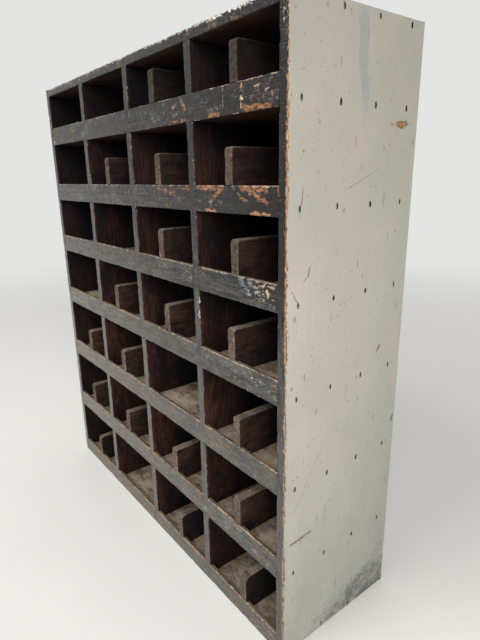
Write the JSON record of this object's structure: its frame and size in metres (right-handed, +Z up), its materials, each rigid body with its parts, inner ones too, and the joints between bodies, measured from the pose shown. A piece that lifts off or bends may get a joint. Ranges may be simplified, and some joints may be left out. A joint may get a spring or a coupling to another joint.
{
  "type": "pigeonhole mail sorter",
  "caption": "Open-fronted wooden pigeonhole sorter for letters, with shelves, uprights, front lips and low dividers in a nailed, painted case.",
  "frame": {"origin": "middle of the footprint, on the floor", "axes": "+X to the right along the width as seen from the open front, -Y out of the open front, +Z up"},
  "size_m": [0.936, 0.29, 1.068],
  "materials": {
    "grey_painted_wood": "warm grey oil paint on softwood, satin, chipped at the edges",
    "black_painted_wood": "black paint on softwood, worn to grey and bare wood at the front, brown stain inside",
    "worn_bare_wood": "dark stained softwood, worn pale along the top and front edges",
    "stained_back_wood": "dark stained softwood boards, matt",
    "nail_iron": "dark rusted cut iron nails"
  },
  "bodies": {
    "root": {"back_boards": "stained_back_wood", "bottom_board": "black_painted_wood", "front_lips_row1": "black_painted_wood", "front_lips_row2": "black_painted_wood", "front_lips_row3": "black_painted_wood", "front_lips_row4": "black_painted_wood", "front_lips_row5": "black_painted_wood", "front_lips_row6": "black_painted_wood", "front_lips_row7": "black_painted_wood", "low_divider_row1_col3": "worn_bare_wood", "low_divider_row1_col4": "worn_bare_wood", "low_divider_row2_col2": "worn_bare_wood", "low_divider_row2_col3": "worn_bare_wood", "low_divider_row2_col4": "worn_bare_wood", "low_divider_row3_col3": "worn_bare_wood", "low_divider_row3_col4": "worn_bare_wood", "low_divider_row4_col2": "worn_bare_wood", "low_divider_row4_col3": "worn_bare_wood", "low_divider_row4_col4": "worn_bare_wood", "low_divider_row5_col1": "worn_bare_wood", "low_divider_row5_col2": "worn_bare_wood", "low_divider_row5_col4": "worn_bare_wood", "low_divider_row6_col1": "worn_bare_wood", "low_divider_row6_col2": "worn_bare_wood", "low_divider_row6_col3": "worn_bare_wood", "low_divider_row6_col4": "worn_bare_wood", "low_divider_row7_col1": "worn_bare_wood", "low_divider_row7_col3": "worn_bare_wood", "low_divider_row7_col4": "worn_bare_wood", "shelf_1": "black_painted_wood", "shelf_2": "black_painted_wood", "shelf_3": "black_painted_wood", "shelf_4": "black_painted_wood", "shelf_5": "black_painted_wood", "shelf_6": "black_painted_wood", "side_board_left": "grey_painted_wood", "side_board_right": "grey_painted_wood", "side_nails": "nail_iron", "top_board": "black_painted_wood", "upright_row1_1": "black_painted_wood", "upright_row1_2": "black_painted_wood", "upright_row1_3": "black_painted_wood", "upright_row2_1": "black_painted_wood", "upright_row2_2": "black_painted_wood", "upright_row2_3": "black_painted_wood", "upright_row3_1": "black_painted_wood", "upright_row3_2": "black_painted_wood", "upright_row3_3": "black_painted_wood", "upright_row4_1": "black_painted_wood", "upright_row4_2": "black_painted_wood", "upright_row4_3": "black_painted_wood", "upright_row5_1": "black_painted_wood", "upright_row5_2": "black_painted_wood", "upright_row5_3": "black_painted_wood", "upright_row6_1": "black_painted_wood", "upright_row6_2": "black_painted_wood", "upright_row6_3": "black_painted_wood", "upright_row7_1": "black_painted_wood", "upright_row7_2": "black_painted_wood", "upright_row7_3": "black_painted_wood"}
  },
  "joints": []
}
